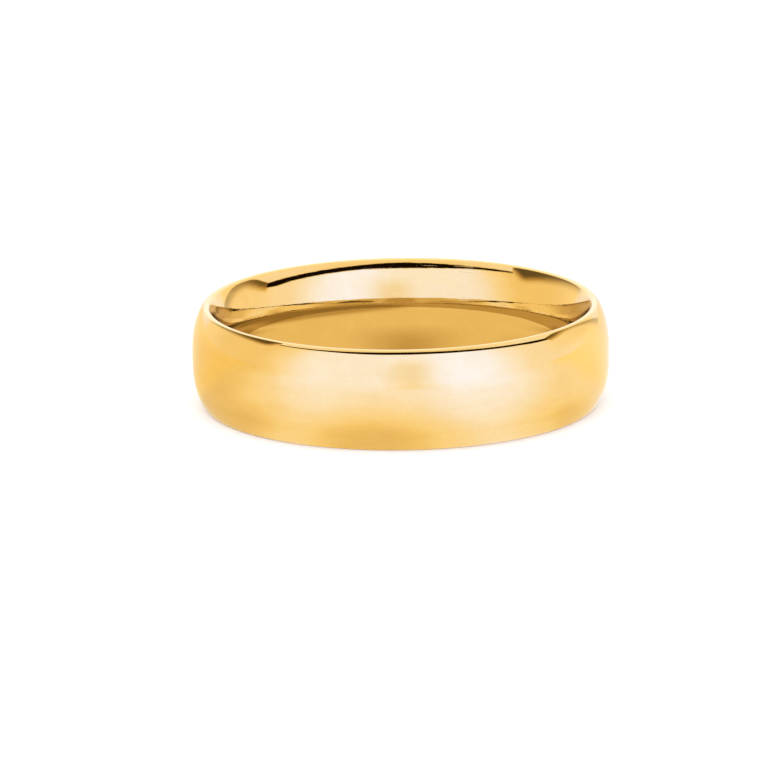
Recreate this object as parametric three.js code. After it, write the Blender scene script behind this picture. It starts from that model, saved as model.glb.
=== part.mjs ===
// Plain wedding band: one closed ring of solid yellow gold.
// Millimetres, +Z along the finger axis, origin at the centre of the finger hole,
// half way between the two side faces.
//
// The section is a heavy court ("domed outside, domed inside") section. The outside
// is a full, slightly squared dome. The inside is an arc, so that the ring slides
// over the knuckle (comfort fit), and it turns over into the side face with a small
// edge radius. A narrow flat land is left on each side face, and the ring rests on it.

import * as THREE from 'three';

// ---- driving dimensions (mm) ----
const OUTER_DIAMETER = 20.7;     // over the crown of the outer dome, at mid width
const BORE_DIAMETER = 17.2;      // smallest inside diameter, at mid width
const BAND_WIDTH = 5.0;          // side face to side face, along the finger
const LAND_OUTER_RADIUS = 9.73;  // outer edge of the flat land on a side face
const INNER_DOME_RADIUS = 3.87;  // radius of the comfort-fit arc, in section
const INNER_EDGE_RADIUS = 0.28;  // radius that turns the inside into the side face
const DOME_SQUARENESS = 2.62;    // outer dome: 2 is a plain oval, higher is squarer
const DOME_SHOULDER = 1.2;       // outer dome: lower brings the shoulder in sooner

// ---- faceting ----
const AROUND = 96;               // facets round the ring, a multiple of 8
const DOME_STEPS = 18;           // facets across the outer dome
const BORE_STEPS = 12;           // facets across the comfort-fit arc
const EDGE_STEPS = 4;            // facets round each inner edge radius

const halfWidth = BAND_WIDTH / 2;
const crownRadius = OUTER_DIAMETER / 2;
const boreRadius = BORE_DIAMETER / 2;

// The comfort-fit arc and the edge radius meet at this angle from the mid plane.
const meetAngle = Math.asin(
  (halfWidth - INNER_EDGE_RADIUS) / (INNER_DOME_RADIUS - INNER_EDGE_RADIUS)
);

// Outer dome, from the lower side face up to the upper one. The steps are closer
// together near the side faces, where the section turns over.
function outerDome() {
  const points = [];
  for (let i = 0; i <= DOME_STEPS; i++) {
    const u = i === 0 ? -1 : i === DOME_STEPS ? 1 : Math.sin(((2 * i) / DOME_STEPS - 1) * (Math.PI / 2));
    const fullness = Math.pow(1 - Math.pow(Math.abs(u), DOME_SQUARENESS), 1 / DOME_SHOULDER);
    const r = LAND_OUTER_RADIUS + (crownRadius - LAND_OUTER_RADIUS) * fullness;
    points.push(new THREE.Vector2(r, u * halfWidth));
  }
  return points;
}

// Half of the inside, from mid width out to the land on the upper side face.
function innerHalf() {
  const points = [];
  for (let i = 0; i <= BORE_STEPS / 2; i++) {
    const a = (meetAngle * i) / (BORE_STEPS / 2);
    points.push(new THREE.Vector2(
      boreRadius + INNER_DOME_RADIUS * (1 - Math.cos(a)),
      INNER_DOME_RADIUS * Math.sin(a)
    ));
  }
  const meet = points[points.length - 1];
  for (let i = 1; i <= EDGE_STEPS; i++) {
    const a = meetAngle + ((Math.PI / 2 - meetAngle) * i) / EDGE_STEPS;
    points.push(new THREE.Vector2(
      meet.x + INNER_EDGE_RADIUS * (Math.cos(meetAngle) - Math.cos(a)),
      i === EDGE_STEPS ? halfWidth : meet.y + INNER_EDGE_RADIUS * (Math.sin(a) - Math.sin(meetAngle))
    ));
  }
  return points;
}

// Closed section in (radius, height): up the outside, down the inside, back to the start.
const half = innerHalf();
const section = [
  ...outerDome(),
  ...[...half].reverse(),
  ...half.slice(1).map((p) => new THREE.Vector2(p.x, -p.y)),
];
section.push(section[0].clone());

// The lathe turns the section about Y; the quarter turn stands its axis on +Z.
const bandGeometry = new THREE.LatheGeometry(section, AROUND);
bandGeometry.rotateX(Math.PI / 2);

const gold = new THREE.MeshStandardMaterial({
  name: 'polished_yellow_gold',
  color: new THREE.Color(0.93, 0.72, 0.36),
  metalness: 1.0,
  roughness: 0.12,
});

const band = new THREE.Mesh(bandGeometry, gold);
band.name = 'band';

const weddingBand = new THREE.Group();
weddingBand.name = 'wedding_band';
weddingBand.add(band);

export default weddingBand;
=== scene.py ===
# A plain polished gold wedding band on a pale floor, in soft studio light.
# Metres, in the CAD frame: origin at the centre of the finger hole, +Z along the finger axis.
import math

import bpy
from mathutils import Matrix, Vector


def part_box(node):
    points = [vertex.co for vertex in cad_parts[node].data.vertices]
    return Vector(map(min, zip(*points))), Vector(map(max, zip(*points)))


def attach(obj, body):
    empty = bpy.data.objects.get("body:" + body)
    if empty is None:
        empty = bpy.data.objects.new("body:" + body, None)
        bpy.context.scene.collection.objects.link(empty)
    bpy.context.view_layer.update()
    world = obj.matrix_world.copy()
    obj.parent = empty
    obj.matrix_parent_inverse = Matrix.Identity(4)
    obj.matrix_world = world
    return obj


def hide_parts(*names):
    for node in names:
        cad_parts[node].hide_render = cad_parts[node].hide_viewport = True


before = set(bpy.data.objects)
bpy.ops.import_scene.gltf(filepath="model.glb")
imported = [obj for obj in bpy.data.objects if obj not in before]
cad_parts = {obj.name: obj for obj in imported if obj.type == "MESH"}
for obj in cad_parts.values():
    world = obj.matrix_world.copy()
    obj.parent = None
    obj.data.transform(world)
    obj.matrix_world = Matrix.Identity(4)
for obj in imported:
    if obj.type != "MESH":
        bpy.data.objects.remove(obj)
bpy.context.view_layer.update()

MM = 0.001
lo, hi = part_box("band")
CROWN = (hi.x - lo.x) / 2            # outer radius at mid width
HALF = (hi.z - lo.z) / 2             # half the band's width
FLOOR_Z = lo.z

# ------------------------------------------------------------------ section
BORE = 8.6 * MM                      # smallest inside radius
BORE_ARC = 3.87 * MM                 # comfort-fit arc
BORE_EDGE = 0.28 * MM                # turns the inside into the side face
LAND_OUT = 9.73 * MM                 # where the outer dome would reach the side face
SQUARENESS, SHOULDER = 2.62, 1.2     # outer dome
SHOULDER_ARC = 1.6 * MM              # the dome's last turn before its edge
SHOULDER_TILT = math.radians(38.5)   # where the edge begins
DOME_EDGE = 0.16 * MM                # the polished break between dome and side face


def dome_r(z):
    u = min(1.0, abs(z) / HALF)
    return LAND_OUT + (CROWN - LAND_OUT) * (1 - u ** SQUARENESS) ** (1 / SHOULDER)


def dome_tilt(z, step=1e-7):
    a, b = max(z - step, 0.0), min(z + step, HALF * 0.9999999)
    return math.atan2(dome_r(a) - dome_r(b), b - a)


def upper_section():
    """Half of the closed section, (radius, height), from the crown of the dome over the side face to the crown of the bore."""
    # the shoulder arc leaves the dome where it and the edge arc will end flat on the side face
    turn = math.sin(SHOULDER_TILT)
    z_leave = HALF * 0.5
    while z_leave + SHOULDER_ARC * (turn - math.sin(dome_tilt(z_leave))) + DOME_EDGE * (1 - turn) < HALF:
        z_leave += 0.0005 * MM
    t_leave = dome_tilt(z_leave)
    pts = []
    n = 40
    for i in range(n + 1):
        z = z_leave * math.sin(i / n * math.pi / 2)
        pts.append((dome_r(z), z))
    for radius, start, end, steps in ((SHOULDER_ARC, t_leave, SHOULDER_TILT, 6), (DOME_EDGE, SHOULDER_TILT, math.pi / 2, 9)):
        r0, z0 = pts[-1]
        for i in range(1, steps + 1):
            t = start + (end - start) * i / steps
            pts.append((r0 - radius * (math.cos(start) - math.cos(t)), z0 + radius * (math.sin(t) - math.sin(start))))
    pts[-1] = (pts[-1][0], HALF)
    meet = math.asin((HALF - BORE_EDGE) / (BORE_ARC - BORE_EDGE))
    mr, mz = BORE + BORE_ARC * (1 - math.cos(meet)), BORE_ARC * math.sin(meet)
    edge = []
    for i in range(13):
        t = math.pi / 2 - (math.pi / 2 - meet) * i / 12
        edge.append((mr + BORE_EDGE * (math.cos(meet) - math.cos(t)), mz + BORE_EDGE * (math.sin(t) - math.sin(meet))))
    edge[0] = (edge[0][0], HALF)
    land_out, land_in = pts[-1][0], edge[0][0]
    for i in range(1, 3):
        pts.append((land_out + (land_in - land_out) * i / 3, HALF))
    pts += edge
    n = 30
    for i in range(1, n + 1):
        t = meet * (1 - i / n)
        pts.append((BORE + BORE_ARC * (1 - math.cos(t)), BORE_ARC * math.sin(t)))
    return pts


def band_mesh(around=480):
    half = upper_section()
    section = half + [(r, -z) for r, z in reversed(half[1:-1])]
    n = len(section)
    verts, faces = [], []
    for i in range(around):
        a = 2 * math.pi * i / around
        c, s = math.cos(a), math.sin(a)
        verts += [(r * c, r * s, z) for r, z in section]
    for i in range(around):
        j = (i + 1) % around
        for k in range(n):
            m = (k + 1) % n
            faces.append((i * n + k, i * n + m, j * n + m, j * n + k))
    me = bpy.data.meshes.new("polished_band")
    me.from_pydata(verts, [], faces)
    me.validate()
    me.update()
    if sum((p.center - Vector((0, 0, p.center.z))).dot(p.normal) for p in me.polygons if abs(p.center.z) < HALF * .2 and p.center.xy.length > (CROWN + BORE) / 2) < 0:
        me.flip_normals()
    me.shade_smooth()
    ob = bpy.data.objects.new("polished_band", me)
    bpy.context.scene.collection.objects.link(ob)
    return ob


band = band_mesh()
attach(band, "root")
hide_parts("band")


# ------------------------------------------------------------------ node helpers
class Tree:
    def __init__(self, tree):
        self.t = tree

    def node(self, kind, **props):
        n = self.t.nodes.new(kind)
        for k, v in props.items():
            setattr(n, k, v)
        return n

    def put(self, socket, value):
        if hasattr(value, "links"):
            self.t.links.new(value, socket)
        else:
            socket.default_value = value

    def math(self, op, a, b=0.0, c=0.0, clamp=False):
        n = self.node("ShaderNodeMath", operation=op, use_clamp=clamp)
        self.put(n.inputs[0], a); self.put(n.inputs[1], b); self.put(n.inputs[2], c)
        return n.outputs[0]

    def ramp(self, x, a, b, lo=0.0, hi=1.0, kind="SMOOTHSTEP"):
        n = self.node("ShaderNodeMapRange", interpolation_type=kind)
        for s, v in zip(n.inputs[:5], (x, a, b, lo, hi)):
            self.put(s, v)
        return n.outputs[0]

    def window(self, x, a, b, soft_a, soft_b=None):
        soft_b = soft_a if soft_b is None else soft_b
        up = self.ramp(x, self.math("SUBTRACT", a, soft_a), self.math("ADD", a, soft_a))
        dn = self.ramp(x, self.math("SUBTRACT", b, soft_b), self.math("ADD", b, soft_b), 1.0, 0.0)
        return self.math("MULTIPLY", up, dn)

    def curve(self, x, points):
        """x and the points' x from 0 to 1."""
        n = self.node("ShaderNodeFloatCurve")
        self.put(n.inputs["Value"], x)
        c = n.mapping.curves[0]
        while len(c.points) < len(points):
            c.points.new(0.5, 0.5)
        for p, (px, py) in zip(c.points, points):
            p.location = (px, py)
            p.handle_type = "AUTO"
        n.mapping.update()
        return n.outputs[0]

    def mix(self, fac, a, b):
        n = self.node("ShaderNodeMix", data_type="RGBA")
        self.put(n.inputs[0], fac); self.put(n.inputs[6], a); self.put(n.inputs[7], b)
        return n.outputs[2]

    def noise(self, vector, scale, detail=2.0, rough=0.5, dim="3D"):
        n = self.node("ShaderNodeTexNoise", noise_dimensions=dim)
        self.put(n.inputs["Vector"], vector)
        n.inputs["Scale"].default_value = scale
        n.inputs["Detail"].default_value = detail
        n.inputs["Roughness"].default_value = rough
        return n.outputs["Fac"]


# ------------------------------------------------------------------ gold
GOLD = (0.985, 0.615, 0.19)
INNER = (0.975, 0.588, 0.168)        # the inside is a little deeper in colour


def gold_material():
    m = bpy.data.materials.new("polished_gold")
    m.use_nodes = True
    t = Tree(m.node_tree)
    b = m.node_tree.nodes["Principled BSDF"]
    tc = t.node("ShaderNodeTexCoord")
    mm = t.node("ShaderNodeVectorMath", operation="SCALE")          # object coordinates in millimetres
    t.put(mm.inputs[0], tc.outputs["Object"])
    mm.inputs["Scale"].default_value = 1 / MM
    p = mm.outputs[0]
    sep = t.node("ShaderNodeSeparateXYZ")
    t.put(sep.inputs[0], p)
    x, y, z = sep.outputs
    r = t.math("SQRT", t.math("ADD", t.math("MULTIPLY", x, x), t.math("MULTIPLY", y, y)))
    # round the ring, and across the section: the way the polishing mop ran
    cx, cy = t.math("DIVIDE", x, r), t.math("DIVIDE", y, r)
    across = t.math("ADD", z, t.math("MULTIPLY", r, 1.3))

    def lay(along, cross, offset=0.0):
        n = t.node("ShaderNodeCombineXYZ")
        t.put(n.inputs[0], t.math("MULTIPLY", cx, along))
        t.put(n.inputs[1], t.math("MULTIPLY", cy, along))
        t.put(n.inputs[2], t.math("MULTIPLY_ADD", across, cross, offset))
        return n.outputs[0]
    lines = t.noise(lay(7.0, 6.5), 1.0, 4.0, 0.62)                  # fine polishing lines
    streaks = t.noise(lay(4.0, 2.1, 7.0), 1.0, 3.0, 0.55)           # broader streaks, 0.5 mm across
    mottle = t.noise(p, 0.42, 4.0, 0.55)                            # clouding, 2 to 3 mm
    haze = t.noise(p, 1.3, 3.0, 0.6)                                # handling haze, under 1 mm
    grain = t.noise(p, 9.0, 2.0, 0.6)
    scratch = t.math("MULTIPLY", t.ramp(t.noise(lay(1.1, 13.0, 31.0), 1.0, 1.0, 0.4), 0.665, 0.70), t.ramp(t.noise(p, 0.7, 1.0, 0.5), 0.50, 0.60))
    rim = t.ramp(t.math("ABSOLUTE", z), 2.36, 2.48)
    inner = t.ramp(r, 9.45, 9.62, 1.0, 0.0)

    colour = t.mix(inner, (*GOLD, 1), (*INNER, 1))
    # clouded patches are a shade greyer, and streaks a shade deeper
    cloud = t.math("MULTIPLY", t.ramp(mottle, 0.44, 0.68), t.math("MULTIPLY_ADD", inner, 0.30, 0.62))
    colour = t.mix(cloud, colour, (0.950, 0.578, 0.176, 1))
    colour = t.mix(t.ramp(streaks, 0.40, 0.68, 0.0, 0.40), colour, (0.940, 0.560, 0.150, 1))
    colour = t.mix(t.ramp(haze, 0.50, 0.70, 0.0, 0.42), colour, (0.990, 0.645, 0.212, 1))
    colour = t.mix(t.ramp(grain, 0.35, 0.70, 0.0, 0.16), colour, (0.880, 0.520, 0.140, 1))
    # the gold's tint counts once, however many times it mirrors itself
    again = t.node("ShaderNodeLightPath").outputs["Is Glossy Ray"]
    colour = t.mix(again, colour, (0.985, 0.965, 0.90, 1))
    t.put(b.inputs["Base Color"], colour)

    rough = t.math("ADD", t.ramp(haze, 0.42, 0.70, 0.014, 0.058), t.ramp(lines, 0.35, 0.70, 0.0, 0.014))
    rough = t.math("ADD", rough, t.math("MULTIPLY", scratch, 0.10))
    rough = t.math("SUBTRACT", rough, t.math("MULTIPLY", rim, 0.008))
    t.put(b.inputs["Roughness"], rough)

    height = t.math("MULTIPLY", lines, 0.5)
    height = t.math("ADD", height, t.math("MULTIPLY", streaks, 0.9))
    height = t.math("ADD", height, t.math("MULTIPLY", mottle, 3.0))
    height = t.math("SUBTRACT", height, t.math("MULTIPLY", scratch, 0.35))
    bp = t.node("ShaderNodeBump")
    bp.inputs["Strength"].default_value = 1.0
    bp.inputs["Distance"].default_value = 1e-6                      # heights are in micrometres
    t.put(bp.inputs["Height"], height)
    t.put(b.inputs["Normal"], bp.outputs[0])
    b.inputs["Metallic"].default_value = 1.0
    b.inputs["Specular Tint"].default_value = (1.0, 0.95, 0.86, 1)
    return m


band.data.materials.append(gold_material())

# ------------------------------------------------------------------ studio light
# Brightness of the studio on one scale, and the light's colour at each brightness: warm where dim, cool where bright.
LIGHT = [
    (0.00, (0.004, 0.002, 0.002)), (0.12, (0.129, 0.118, 0.085)), (0.30, (0.283, 0.220, 0.111)), (0.43, (0.430, 0.328, 0.174)),
    (0.62, (0.620, 0.525, 0.330)), (0.75, (0.756, 0.688, 0.500)), (0.88, (0.876, 0.828, 0.668)), (0.95, (0.953, 0.940, 0.820)),
    (1.00, (0.990, 1.035, 1.070)), (1.10, (1.010, 1.115, 1.490)), (1.20, (1.012, 1.237, 2.280)), (1.35, (1.020, 1.364, 3.210)),
    (1.50, (1.030, 1.500, 4.370)), (1.65, (1.040, 1.600, 5.200))]
TOP = 1.65
GAIN = 5.2
AMBIENT = 1.42


def light_colour(t, level):
    """Studio brightness, 0 to 1.65, to a light colour divided by GAIN."""
    n = t.node("ShaderNodeValToRGB")
    t.put(n.inputs[0], t.math("DIVIDE", level, TOP))
    e = n.color_ramp.elements
    while len(e) < len(LIGHT):
        e.new(0.5)
    for k, (x, c) in zip(e, LIGHT):
        k.position = x / TOP
        k.color = (c[0] / GAIN, c[1] / GAIN, c[2] / GAIN, 1)
    return n.outputs[0]


def deeper(t, level, keep, first, plain, cool=0.0):
    """Light that reaches the eye over one or more gold faces. Over two or more it is dimmer.
    first is the ray depth at which one gold face has been met, plain is how far the light there is plain white, and cool how cool that white is."""
    lp = t.node("ShaderNodeLightPath")
    extra = t.math("MAXIMUM", t.math("SUBTRACT", lp.outputs["Ray Depth"], first), 0.0)
    once = t.math("LESS_THAN", extra, 0.5)
    many = t.math("GREATER_THAN", extra, 2.5)
    # four faces or more lie deep in the corners
    keep = t.math("MULTIPLY", keep, t.math("MULTIPLY_ADD", many, -0.55, 1.0))
    level = t.math("MULTIPLY", level, t.math("ADD", t.math("MULTIPLY", once, t.math("SUBTRACT", 1.0, keep)), keep))
    n = t.node("ShaderNodeCombineXYZ")
    for s, c, d in zip(n.inputs, (1.0, 1.0, 0.95), (-0.08, 0.07, 0.60)):
        t.put(s, t.math("MULTIPLY", level, t.math("MULTIPLY_ADD", cool, d / GAIN, c / GAIN)))
    colour = t.mix(t.math("MULTIPLY", once, plain), light_colour(t, level), n.outputs[0])
    # the gold as the eye sees it, not as the floor does
    mirrored = t.math("MULTIPLY", lp.outputs["Is Glossy Ray"], t.math("LESS_THAN", lp.outputs["Diffuse Depth"], 0.5))
    return colour, mirrored


def bump(t, x, centre, width):
    return t.ramp(t.math("ABSOLUTE", t.math("SUBTRACT", x, centre)), 0.0, width, 1.0, 0.0)


def camera_gap(t, az):
    return t.math("MULTIPLY", t.ramp(az, -15.0, 3.0), t.ramp(az, 8.0, 23.0, 1.0, 0.0))


def beside(t, az, gap):
    """What stands round the ring, by azimuth: 0 is the camera's side, + is towards +X. gap is how far the dim gap at the camera shows."""
    v = t.math("ADD", t.ramp(az, -88.0, -44.0, 0.94, 1.33), t.ramp(az, 4.0, 34.0, 0.0, 0.16))
    v = t.math("SUBTRACT", v, t.math("MULTIPLY", camera_gap(t, az), t.math("MULTIPLY", gap, 0.17)))
    v = t.math("SUBTRACT", v, t.ramp(az, 44.0, 82.0, 0.0, 0.36))
    return t.math("ADD", v, t.ramp(az, -146.0, -112.0, 0.13, 0.0))


def polynomial(t, x, coefficients):
    v = coefficients[0]
    for c in coefficients[1:]:
        v = t.math("MULTIPLY_ADD", v, x, c)
    return v


def studio():
    w = bpy.data.worlds.new("studio")
    bpy.context.scene.world = w
    w.use_nodes = True
    w.cycles.sampling_method = "NONE"
    nt = w.node_tree
    nt.nodes.clear()
    t = Tree(nt)
    tc = t.node("ShaderNodeTexCoord")
    sep = t.node("ShaderNodeSeparateXYZ")
    nt.links.new(tc.outputs["Generated"], sep.inputs[0])
    x, y, z = sep.outputs
    el = t.math("MULTIPLY", t.math("ARCSINE", z), 180 / math.pi)
    az = t.math("MULTIPLY", t.math("ARCTAN2", x, t.math("MULTIPLY", y, -1.0)), 180 / math.pi)
    aw = t.math("ABSOLUTE", az)
    # the upper edge of the white screens that stand round the ring
    u = t.math("DIVIDE", az, 100.0)
    edge = polynomial(t, u, (14.15, -3.85, -17.18, -17.09, 0.0, 51.02))
    slot_top = polynomial(t, u, (3.34, -2.69, -29.46, -0.48, 60.1))
    sl = t.math("MAXIMUM", t.math("SUBTRACT", -88.0, az), 0.0)
    sr = t.math("MAXIMUM", t.math("SUBTRACT", az, 100.0), 0.0)
    edge_l = polynomial(t, sl, (-0.0200, 0.95, 41.5))
    edge_r = t.math("ADD", polynomial(t, sr, (-0.0125, 0.0, 31.2)), t.math("MULTIPLY", bump(t, az, 121.0, 23.0), 5.8))

    def choose(flag, a, b):
        return t.math("ADD", t.math("MULTIPLY", flag, t.math("SUBTRACT", b, a)), a)
    edge = t.math("SUBTRACT", edge, t.math("ADD", t.math("MULTIPLY", bump(t, az, 93.0, 14.0), 1.8), t.math("MULTIPLY", bump(t, az, -74.0, 26.0), 1.1)))
    rim = choose(t.math("LESS_THAN", az, -88.0), choose(t.math("GREATER_THAN", az, 100.0), edge, edge_r), edge_l)
    over = t.math("SUBTRACT", el, rim)
    above = t.ramp(over, -0.8, 0.8)
    # the side screens darken towards their upper edges
    gap = t.ramp(el, 20.0, 42.0, 1.0, 0.0)
    low = beside(t, az, gap)
    fade_l = polynomial(t, sl, (-0.0055, 0.0, 35.0))
    dark_l = t.math("MULTIPLY", t.math("MULTIPLY", t.ramp(az, -140.0, -104.0, 0.72, 0.88), t.ramp(az, -96.0, -86.0, 1.0, 0.0)),
                    t.ramp(t.math("SUBTRACT", el, fade_l), -8.5, 2.5))
    dark_r = t.math("MULTIPLY", t.math("MULTIPLY", t.ramp(az, 97.0, 101.0), t.ramp(az, 102.0, 139.0, 0.80, 0.42)), t.ramp(t.math("SUBTRACT", el, edge_r), -12.0, -1.5))
    low = t.math("MULTIPLY", low, t.math("MULTIPLY", t.math("SUBTRACT", 1.0, dark_l), t.math("SUBTRACT", 1.0, dark_r)))
    low = t.math("SUBTRACT", low, t.math("MULTIPLY", t.ramp(az, 86.0, 112.0, 0.0, 0.10), t.ramp(el, 2.0, 12.0)))
    # the roof, and the black slot between it and the screens
    roof = t.ramp(aw, 50.0, 90.0, 1.02, 1.12)
    slot = t.math("MULTIPLY", t.math("MULTIPLY", t.ramp(over, -0.6, 0.6), t.ramp(t.math("SUBTRACT", el, slot_top), -0.6, 0.6, 1.0, 0.0)),
                  t.math("MULTIPLY", t.ramp(az, -93.0, -87.0), t.ramp(az, 103.0, 109.0, 1.0, 0.0)))
    roof = t.math("MULTIPLY", roof, t.math("MULTIPLY_ADD", slot, -0.997, 1.0))
    level = choose(above, low, roof)
    # the plain back wall
    high = t.ramp(el, 2.0, 12.0)
    behind = t.math("MULTIPLY_ADD", t.ramp(aw, 146.0, 160.0), t.math("MULTIPLY", high, 0.20), 1.12)
    behind = t.math("SUBTRACT", behind, t.math("MULTIPLY", t.ramp(aw, 152.0, 174.0, 0.0, 0.34), t.ramp(el, 0.0, 6.0, 1.0, 0.0)))
    start = t.ramp(az, -1.0, 1.0, 143.5, 141.0)
    level = choose(t.ramp(aw, start, t.math("ADD", start, t.math("MULTIPLY_ADD", high, -17.0, 20.5))), level, behind)
    grey = t.math("MULTIPLY", t.math("MULTIPLY", camera_gap(t, az), gap), t.ramp(el, 0.0, 8.0, 0.0, 0.05))
    keep = t.math("ADD", t.ramp(aw, 88.0, 115.0, 0.72, 0.62), t.ramp(aw, 150.0, 165.0, 0.0, -0.22))
    colour, mirrored = deeper(t, level, keep, 2, t.ramp(aw, 100.0, 140.0), t.math("MULTIPLY", t.ramp(aw, 140.0, 147.0), t.ramp(el, 0.0, 6.0)))
    colour = t.mix(grey, colour, (0.0, 0.0, 0.0, 1))
    # the eye and the floor see plain white, and the floor sees it in the gold too, with hardly a tint
    lp = t.node("ShaderNodeLightPath")
    white = t.mix(lp.outputs["Is Glossy Ray"], (AMBIENT / GAIN, AMBIENT / GAIN, AMBIENT / GAIN, 1), tuple(0.9 * AMBIENT / GAIN / c for c in GOLD) + (1,))
    seen = t.mix(mirrored, white, colour)
    bg = t.node("ShaderNodeBackground")
    bg.inputs["Strength"].default_value = GAIN
    nt.links.new(seen, bg.inputs["Color"])
    out = t.node("ShaderNodeOutputWorld")
    nt.links.new(bg.outputs[0], out.inputs[0])


studio()

# ------------------------------------------------------------------ floor
floor_me = bpy.data.meshes.new("floor")
S = 3.0
floor_me.from_pydata([(-S, -S, 0), (S, -S, 0), (S, S, 0), (-S, S, 0)], [], [(0, 1, 2, 3)])
floor = bpy.data.objects.new("floor", floor_me)
floor.location = (0, 0, FLOOR_Z)
bpy.context.scene.collection.objects.link(floor)


def floor_material():
    """White board to the eye. In the gold it glows instead, with a painted sheen of the screens that fades towards the
    ring, painted pools of light, and painted shade inside the ring.
    """
    m = bpy.data.materials.new("floor_white_painted_light")
    m.use_nodes = True
    m.cycles.emission_sampling = "NONE"
    nt = m.node_tree
    nt.nodes.clear()
    t = Tree(nt)
    geo = t.node("ShaderNodeNewGeometry")
    sep = t.node("ShaderNodeSeparateXYZ")
    nt.links.new(geo.outputs["Position"], sep.inputs[0])
    x, y = t.math("DIVIDE", sep.outputs[0], MM), t.math("DIVIDE", sep.outputs[1], MM)
    r = t.math("SQRT", t.math("ADD", t.math("MULTIPLY", x, x), t.math("MULTIPLY", y, y)))
    az = t.math("MULTIPLY", t.math("ARCTAN2", x, t.math("MULTIPLY", y, -1.0)), 180 / math.pi)
    # painted light on the floor next to the ring, seen only in the gold: two brighter painted pools near -34 and 29
    # degrees, brighter towards +X
    near = t.math("ADD", t.math("ADD", t.math("MULTIPLY", bump(t, az, -34.0, 23.0), 0.18), t.math("MULTIPLY", bump(t, az, 29.0, 36.0), 0.30)),
                  t.ramp(az, 40.0, 110.0, 0.845, 1.095))
    near = t.math("ADD", near, t.math("ADD", t.ramp(az, -138.0, -104.0, 0.04, 0.0), t.ramp(az, -98.0, -84.0, 0.10, 0.0)))
    # further out the painted sheen follows the screens round the ring; closer in it fades to the painted light next to
    # the ring
    q = t.math("MINIMUM", t.math("DIVIDE", 11.0, t.math("MAXIMUM", r, 1.0)), 1.0)
    far = t.math("SUBTRACT", 1.0, t.math("POWER", q, 1.67))
    round_it = beside(t, az, t.ramp(r, 20.0, 52.0))
    outside = t.math("ADD", t.math("MULTIPLY", t.math("SUBTRACT", round_it, near), far), near)
    # painted shade on the floor inside the ring, darker towards +X and towards the camera side
    inside = t.ramp(t.math("SUBTRACT", x, t.math("MULTIPLY", y, 0.35)), 0.0, 5.5, 0.87, 0.52)
    # a painted shadow spot by the far wall inside the ring
    dx, dy = t.math("SUBTRACT", x, 0.4), t.math("SUBTRACT", y, 9.2)
    painted_shade_spot = t.math("SQRT", t.math("ADD", t.math("MULTIPLY", dx, dx), t.math("MULTIPLY", dy, dy)))
    inside = t.math("SUBTRACT", inside, t.math("MULTIPLY", bump(t, painted_shade_spot, 0.0, 3.4), 0.27))
    # straight behind, both sides meet, and the painted light evens out to full brightness
    back = t.ramp(t.math("ABSOLUTE", az), 120.0, 176.0)
    outside = t.math("ADD", t.math("MULTIPLY", back, t.math("SUBTRACT", 1.0, outside)), outside)
    hole = t.math("LESS_THAN", r, 9.69)
    level = t.math("ADD", t.math("MULTIPLY", hole, t.math("SUBTRACT", inside, outside)), outside)
    # the painted light is a warmer white at the flanks
    aw = t.math("ABSOLUTE", az)
    cool = t.math("ADD", t.ramp(aw, 98.0, 128.0, -0.56, -0.3), t.math("MULTIPLY", t.ramp(az, 0.0, 80.0), t.ramp(az, 140.0, 176.0, 0.46, 0.0)))
    colour, mirrored = deeper(t, level, 0.62, 1, t.math("MULTIPLY", t.ramp(aw, 80.0, 98.0), t.math("SUBTRACT", 1.0, hole)), cool)
    # the floor glows with this painted light only for rays from the gold; to the eye and to diffuse light it is a plain
    # white board
    em = t.node("ShaderNodeEmission")
    em.inputs["Strength"].default_value = GAIN
    nt.links.new(colour, em.inputs["Color"])
    df = t.node("ShaderNodeBsdfDiffuse")
    df.inputs["Color"].default_value = (0.92, 0.92, 0.92, 1)
    mx = t.node("ShaderNodeMixShader")
    nt.links.new(mirrored, mx.inputs[0])
    nt.links.new(df.outputs[0], mx.inputs[1])
    nt.links.new(em.outputs[0], mx.inputs[2])
    out = t.node("ShaderNodeOutputMaterial")
    nt.links.new(mx.outputs[0], out.inputs[0])
    return m


floor_me.materials.append(floor_material())

# ------------------------------------------------------------------ camera
ELEV, ROLL = 0.2447, 0.0123
DIST = 36.3 * CROWN
up = Vector((0, math.sin(ELEV), math.cos(ELEV)))
right = Vector((1, 0, 0))
back = Vector((0, -math.cos(ELEV), math.sin(ELEV)))
r2 = right * math.cos(ROLL) - up * math.sin(ROLL)
u2 = up * math.cos(ROLL) + right * math.sin(ROLL)
cam_data = bpy.data.cameras.new("camera")
cam_data.sensor_width = 36.0
cam_data.lens = 353.6
cam_data.shift_x = -0.01994
cam_data.shift_y = -0.04397
cam_data.clip_start, cam_data.clip_end = 0.01, 20.0
cam = bpy.data.objects.new("camera", cam_data)
cam.matrix_world = Matrix((
    (r2.x, u2.x, back.x, back.x * DIST),
    (r2.y, u2.y, back.y, back.y * DIST),
    (r2.z, u2.z, back.z, back.z * DIST),
    (0, 0, 0, 1)))
bpy.context.scene.collection.objects.link(cam)
bpy.context.scene.camera = cam

scene = bpy.context.scene
scene.view_settings.view_transform = "Standard"
scene.view_settings.look = "None"
scene.view_settings.exposure = 0.0
scene.view_settings.gamma = 1.0
